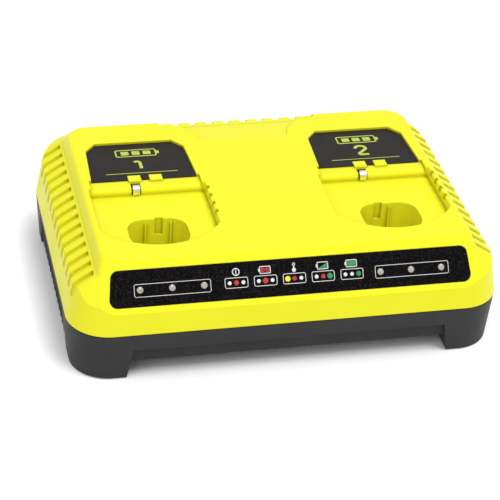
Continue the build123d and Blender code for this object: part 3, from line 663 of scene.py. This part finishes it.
def foot_rubber():
    """Black rubber with a coarse matt grain and paler dust in it."""
    look = Finish("foot_rubber")
    dust = look.cloud(size_mm=2.2, detail=5.0, source=(0.5, 0.8))
    look.set(Base_Color=look.mix(dust, grey(0.018), rgb(0.05, 0.048, 0.045)))
    look.set(Roughness=look.between(dust, UNIT, (0.72, 0.9)))
    return look.set(Normal=look.relief(look.noise(size_mm=0.5, detail=3.0), depth_mm=0.05)).material


def board_lacquer():
    """Green board: lacquer over faint copper tracks."""
    look = Finish("board_lacquer")
    tracks = look.node("TexBrick", Vector=look.place, Scale=60.0, Mortar_Size=0.03).outputs["Fac"]
    look.set(Base_Color=look.mix(tracks, rgb(0.018, 0.13, 0.045), rgb(0.05, 0.24, 0.09)))
    look.set(Roughness=look.cloud(size_mm=4.0, detail=3.0, target=(0.22, 0.36)))
    return look.set(Normal=look.relief(tracks, depth_mm=0.03), Coat_Weight=0.4).material


def ferrite():
    """Dark sintered core with a sandy surface."""
    look = Finish("ferrite")
    sand = look.noise(size_mm=0.35, detail=4.0)
    look.set(Base_Color=look.mix(sand, rgb(0.035, 0.035, 0.038), rgb(0.075, 0.075, 0.08)))
    look.set(Roughness=look.between(sand, CLOUD, (0.55, 0.75)))
    return look.set(Normal=look.relief(sand, depth_mm=0.05)).material


def winding_tape():
    """Amber tape wound in level turns."""
    look = Finish("winding_tape")
    wave = look.node("TexWave", Vector=look.place, Scale=330.0, Distortion=0.4, Detail=1.0)
    wave.bands_direction = "Z"
    turns = wave.outputs["Fac"]
    look.set(Base_Color=look.mix(turns, rgb(0.55, 0.34, 0.03), rgb(0.75, 0.5, 0.06)))
    look.set(Roughness=look.between(turns, UNIT, (0.25, 0.4)))
    return look.set(Normal=look.relief(turns, depth_mm=0.08)).material


def can_sleeve():
    """Dark blue shrunk sleeve with paler clouds of wear."""
    look = Finish("can_sleeve")
    wear = look.cloud(size_mm=7.0, detail=4.0, source=(0.4, 0.75))
    look.set(Base_Color=look.mix(wear, rgb(0.014, 0.02, 0.07), rgb(0.03, 0.04, 0.12)))
    look.set(Roughness=look.cloud(size_mm=2.0, detail=3.0, target=(0.2, 0.34)))
    look.set(Normal=look.relief(look.noise(size_mm=3.0, detail=3.0), depth_mm=0.05))
    return look.set(Coat_Weight=0.25).material


def fuse_glass():
    """Fuse tube: pale glass, a little smoky."""
    look = Finish("fuse_glass")
    smoke = look.cloud(size_mm=4.0, detail=3.0, source=(0.35, 0.7))
    look.set(Base_Color=look.mix(smoke, rgb(0.8, 0.84, 0.84), rgb(0.6, 0.62, 0.6)))
    look.set(Roughness=look.between(smoke, UNIT, (0.05, 0.14)))
    return look.set(Transmission_Weight=0.7, IOR=1.5).material


def copper_wire():
    """Enamelled wire wound round a ring, as fine ridges."""
    look = Finish("copper_wire")
    turns = look.noise(size_mm=0.9, stretch=(1.0, 1.0, 0.25))
    look.set(Metallic=1.0, Base_Color=look.mix(turns, rgb(0.5, 0.2, 0.07), rgb(0.78, 0.38, 0.17)))
    look.set(Roughness=look.between(turns, CLOUD, (0.26, 0.42)))
    return look.set(Normal=look.relief(turns, depth_mm=0.12), Coat_Weight=0.3).material


def ink(name, colour, shade):
    """Screen-printed ink: slightly uneven cover and a satin skin."""
    look = Finish(name)
    cover = look.cloud(size_mm=0.9, detail=4.0, source=(0.35, 0.6))
    look.set(Base_Color=look.mix(cover, shade, colour))
    return look.set(Roughness=look.cloud(size_mm=0.6, target=(0.42, 0.55))).material


FINISHES = {
    "lime_shell": lime_shell(),
    "dark_shell": dark_shell(),
    "overlay_film": overlay_film(),
    "bay_plate": bay_plate(),
    "lamp_lens": lamp_lens(),
    "contact_metal": contact_metal(),
    "terminal_metal": terminal_metal(),
    "screw_steel": screw_steel(),
    "foot_rubber": foot_rubber(),
    "block_plastic": block_plastic(),
    "board": board_lacquer(),
    "ferrite": ferrite(),
    "winding_tape": winding_tape(),
    "can_sleeve": can_sleeve(),
    "sink_metal": sink_metal(),
    "fuse_glass": fuse_glass(),
    "copper_wire": copper_wire(),
}
INKS = {
    "white": ink("white_ink", colour=rgb(0.8, 0.79, 0.8), shade=rgb(0.66, 0.65, 0.66)),
    "red": ink("red_ink", colour=rgb(0.52, 0.026, 0.019), shade=rgb(0.4, 0.018, 0.014)),
    "green": ink("green_ink", colour=rgb(0.02, 0.3, 0.075), shade=rgb(0.015, 0.22, 0.055)),
    "yellow": ink("yellow_ink", colour=rgb(0.85, 0.78, 0.02), shade=rgb(0.75, 0.68, 0.02)),
    "lime": ink("lime_ink", colour=rgb(0.52, 0.62, 0.07), shade=rgb(0.43, 0.52, 0.05)),
}

for entry in frame["record"]["subparts"]:
    node = frame["nodes"][entry["node"]]
    node.data.materials.clear()
    node.data.materials.append(FINISHES[entry["material_slot"]])


# Lamp domes, print and screw faces


def lamp_domes(side):
    """A low dome on each lamp of one bay."""
    places = [side * (LAMP_REACH - number * LAMP_PITCH) for number in range(LAMPS_PER_BAY)]
    return [dome(x, LAMP_DROP, LAMP_DOME_RADIUS, LAMP_DOME_RISE) for x in places]


def frame_line(left, right, top, bottom, radius, line):
    """Fine rounded frame printed on the overlay."""
    loop, normal = rounded_loop((right - left) / 2, (bottom - top) / 2, radius)
    return ring_line(((left + right) / 2, (top + bottom) / 2), loop, normal, line, on_fascia)


def legend_frames():
    """Frames round both lamp groups and round each row of dots."""
    lines = [frame_line(**box, radius=LAMP_FRAME_RADIUS, line=LAMP_FRAME_LINE) for box in LAMP_FRAMES]
    for x in LEGEND_PLACES:
        loop, normal = rounded_loop(LEGEND_HALF_WIDTH, LEGEND_HALF_HEIGHT, LEGEND_RADIUS)
        lines.append(ring_line((x, LEGEND_DROP), loop, normal, LEGEND_LINE, on_fascia))
    return lines


def legend_dots(colour):
    """Every dot of one colour in the five rows."""
    return [
        filled((x + (number - 1) * LEGEND_DOT_PITCH, LEGEND_DROP), round_loop(radius)[0], on_fascia)
        for x, row in zip(LEGEND_PLACES, LEGEND_DOTS)
        for number, (shade, radius) in enumerate(row)
        if shade == colour
    ]


def icon_patch(x, half, radius, fall=0.0):
    """Printed oblong with rounded corners among the pictograms, a fall below their middle."""
    loop, _ = rounded_loop(*half, radius)
    return filled((x, ICON_DROP + fall), loop, on_fascia)


def cell_outline(x):
    """Pictogram of a cell: an oblong outline with a short cap at its left."""
    loop, normal = rounded_loop(*ICON_CELL_HALF, ICON_CELL_RADIUS)
    return [
        ring_line((x, ICON_DROP), loop, normal, ICON_CELL_LINE, on_fascia),
        icon_patch(x - ICON_CAP_REACH, ICON_CAP_HALF, ICON_CAP_RADIUS),
    ]


def power_sign(x):
    """Pictogram of a ring with an upright bar in it."""
    ring, normal = round_loop(POWER_RING_RADIUS)
    return [
        ring_line((x, ICON_DROP), ring, normal, POWER_RING_LINE, on_fascia),
        icon_patch(x, POWER_BAR_HALF, POWER_BAR_RADIUS),
    ]


def thermometer(x):
    """Pictogram of a thermometer: a round bulb, an upright stem and a small ring as its head."""
    bulb, _ = round_loop(BULB_RADIUS)
    head, normal = round_loop(STEM_HEAD_RADIUS)
    return [
        filled((x, ICON_DROP + BULB_FALL), bulb, on_fascia),
        icon_patch(x, STEM_HALF, STEM_RADIUS, -STEM_RISE),
        ring_line((x, ICON_DROP - STEM_HEAD_RISE), head, normal, STEM_HEAD_LINE, on_fascia),
    ]


def icons_white():
    """White parts of the pictograms: a ring with a bar, three cells and a thermometer."""
    first, second, third, fourth, fifth = LEGEND_PLACES
    cells = cell_outline(second) + cell_outline(fourth) + cell_outline(fifth)
    return power_sign(first) + cells + thermometer(third)


def icons_red():
    """Crossed strokes between two bars in the second cell."""
    x = LEGEND_PLACES[1]
    share = np.linspace(-1, 1, FAULT_CROSS_STEPS)
    run, rise = (half * share for half in FAULT_CROSS_HALF)
    paths = [np.stack([x + run, ICON_DROP + sign * rise], -1) for sign in (-1, 1)]
    cross = [stroke(path, FAULT_CROSS_STROKE, on_fascia) for path in paths]
    bars = [icon_patch(x + side * FAULT_BAR_REACH, FAULT_BAR_HALF, ICON_FILL_RADIUS) for side in (-1, 1)]
    return cross + bars


def icons_green():
    """Wedge in the fourth cell and a full fill in the fifth."""
    wedge = filled((LEGEND_PLACES[3], ICON_DROP), np.array(HALF_FILL_CORNERS), on_fascia)
    return [wedge, icon_patch(LEGEND_PLACES[4], FULL_FILL_HALF, ICON_FILL_RADIUS)]


def numeral(corners, side):
    """Plain bay number: one stroke along a bent path on the plate."""
    path = bent_path(corners) + (side * PLATE_CENTRE, NUMERAL_FOOT)
    return [stroke(path, NUMERAL_STROKE, on_plate)]


def plate_print(side):
    """Cell pictogram of an outline, a cap and three bars, and a fine straight line further down."""
    x = side * PLATE_CENTRE
    outline, normal = rounded_loop(CELL_HALF_LENGTH, CELL_HALF_HEIGHT, CELL_RADIUS)
    cap, _ = rounded_loop(*CELL_CAP_HALF, CELL_LINE / 2)
    bar, _ = rounded_loop(*CELL_BAR_HALF, CELL_LINE / 2)
    cap_x = x + CELL_HALF_LENGTH + CELL_LINE / 2 + CELL_CAP_HALF[0]
    rule_ends = (x - RULE_HALF_LENGTH, RULE_Y), (x + RULE_HALF_LENGTH, RULE_Y)
    bars = [filled((x + number * CELL_BAR_PITCH, CELL_MIDDLE), bar, on_plate) for number in (-1, 0, 1)]
    return bars + [
        ring_line((x, CELL_MIDDLE), outline, normal, CELL_LINE, on_plate),
        filled((cap_x, CELL_MIDDLE), cap, on_plate),
        stroke(np.linspace(*rule_ends, RULE_STEPS), RULE_STROKE, on_plate),
    ]


build("left_lamp_domes", lamp_domes(-1), FINISHES["lamp_lens"])
build("right_lamp_domes", lamp_domes(1), FINISHES["lamp_lens"])
build("legend_frames", legend_frames(), INKS["white"], smooth=False)
build("legend_icons_white", icons_white(), INKS["white"], smooth=False)
build("legend_icons_red", icons_red(), INKS["red"], smooth=False)
build("legend_icons_green", icons_green(), INKS["green"], smooth=False)
for colour in ("white", "red", "green", "yellow"):
    build(f"legend_dots_{colour}", legend_dots(colour), INKS[colour], smooth=False)
build("left_bay_number", numeral(ONE_CORNERS, -1), INKS["lime"], smooth=False)
build("right_bay_number", numeral(TWO_CORNERS, 1), INKS["lime"], smooth=False)
build("left_plate_print", plate_print(-1), INKS["lime"], smooth=False)
build("right_plate_print", plate_print(1), INKS["lime"], smooth=False)
build("screw_faces", [cross_face(x, y) for x, y in SCREW_PLACES], FINISHES["screw_steel"])


# Stage: pale floor, soft studio light and the camera


def seen_directly(tree):
    """One for rays from the camera, off gloss and through glass, and nought for light that only spreads."""
    path = tree.nodes.new("ShaderNodeLightPath")
    share = path.outputs["Is Camera Ray"]
    for ray in ("Is Glossy Ray", "Is Transmission Ray"):
        larger = tree.nodes.new("ShaderNodeMath")
        larger.operation = "MAXIMUM"
        tree.links.new(share, larger.inputs[0])
        tree.links.new(path.outputs[ray], larger.inputs[1])
        share = larger.outputs["Value"]
    return share


def pale_floor():
    """Flat floor, white where it is seen directly and a little greyer to the light that it throws back.

    It glows a little away from the charger, so that it runs into the surround and keeps the shadow.
    """
    edge = np.linspace(-FLOOR_SIZE / 2, FLOOR_SIZE / 2, FLOOR_STEPS)
    x, y = np.meshgrid(edge, edge, indexing="ij")
    points, quads = patch(np.stack([x, y, np.zeros_like(x)], -1))
    mesh = bpy.data.meshes.new("floor")
    mesh.from_pydata(points, [], quads.tolist())
    look = Finish("floor_paper")
    seen = seen_directly(look.tree)
    glow = look.between(look.beyond(FLOOR_SHADE_HALF), FLOOR_SHADE_RANGE, (0.0, FLOOR_GLOW))
    look.set(Base_Color=look.mix(seen, grey(FLOOR_THROWN), grey(FLOOR_SEEN)))
    look.set(Emission_Color=grey(1.0), Emission_Strength=look.product(seen, glow))
    look.set(Roughness=1.0, Specular_IOR_Level=0.0)
    mesh.materials.append(look.material)
    in_scene("floor", mesh)


def soft_world():
    """Even white surround: full white where it is seen directly, dimmer as light."""
    world = bpy.data.worlds.new("surround")
    bpy.context.scene.world = world
    world.use_nodes = True
    tree = world.node_tree
    back = tree.nodes["Background"]
    back.inputs["Color"].default_value = grey(1.0)
    level = tree.nodes.new("ShaderNodeMapRange")
    level.inputs["To Min"].default_value = WORLD_LIGHT
    level.inputs["To Max"].default_value = 1.0
    tree.links.new(seen_directly(tree), level.inputs["Value"])
    tree.links.new(level.outputs["Result"], back.inputs["Strength"])


def soft_box(name, place, size, power):
    """Large square soft box at a place, turned to the charger."""
    lamp = bpy.data.lights.new(name, "AREA")
    lamp.shape = "SQUARE"
    lamp.size = size
    lamp.energy = power
    box = in_scene(name, lamp)
    box.location = place
    box.rotation_euler = (Vector(LIGHT_AIM) - Vector(place)).to_track_quat("-Z", "Y").to_euler()


def front_camera():
    """Camera turned by yaw about the upright, then pitched down and rolled about its own axis."""
    camera = bpy.data.cameras.new("camera")
    camera.lens = CAMERA_LENS
    camera.sensor_width = CAMERA_SENSOR
    camera.clip_start, camera.clip_end = CAMERA_CLIP
    yaw = Matrix.Rotation(-math.radians(CAMERA_YAW), 4, "Z")
    pitch = Matrix.Rotation(math.pi / 2 - math.radians(CAMERA_PITCH), 4, "X")
    roll = Matrix.Rotation(math.radians(CAMERA_ROLL), 4, "Z")
    holder = in_scene("camera", camera)
    holder.matrix_world = Matrix.Translation(Vector(CAMERA_PLACE) * MM) @ yaw @ pitch @ roll
    bpy.context.scene.camera = holder


pale_floor()
soft_world()
for name, box in SOFT_BOXES.items():
    soft_box(name, **box)
front_camera()
bpy.context.scene.view_settings.view_transform = "Standard"
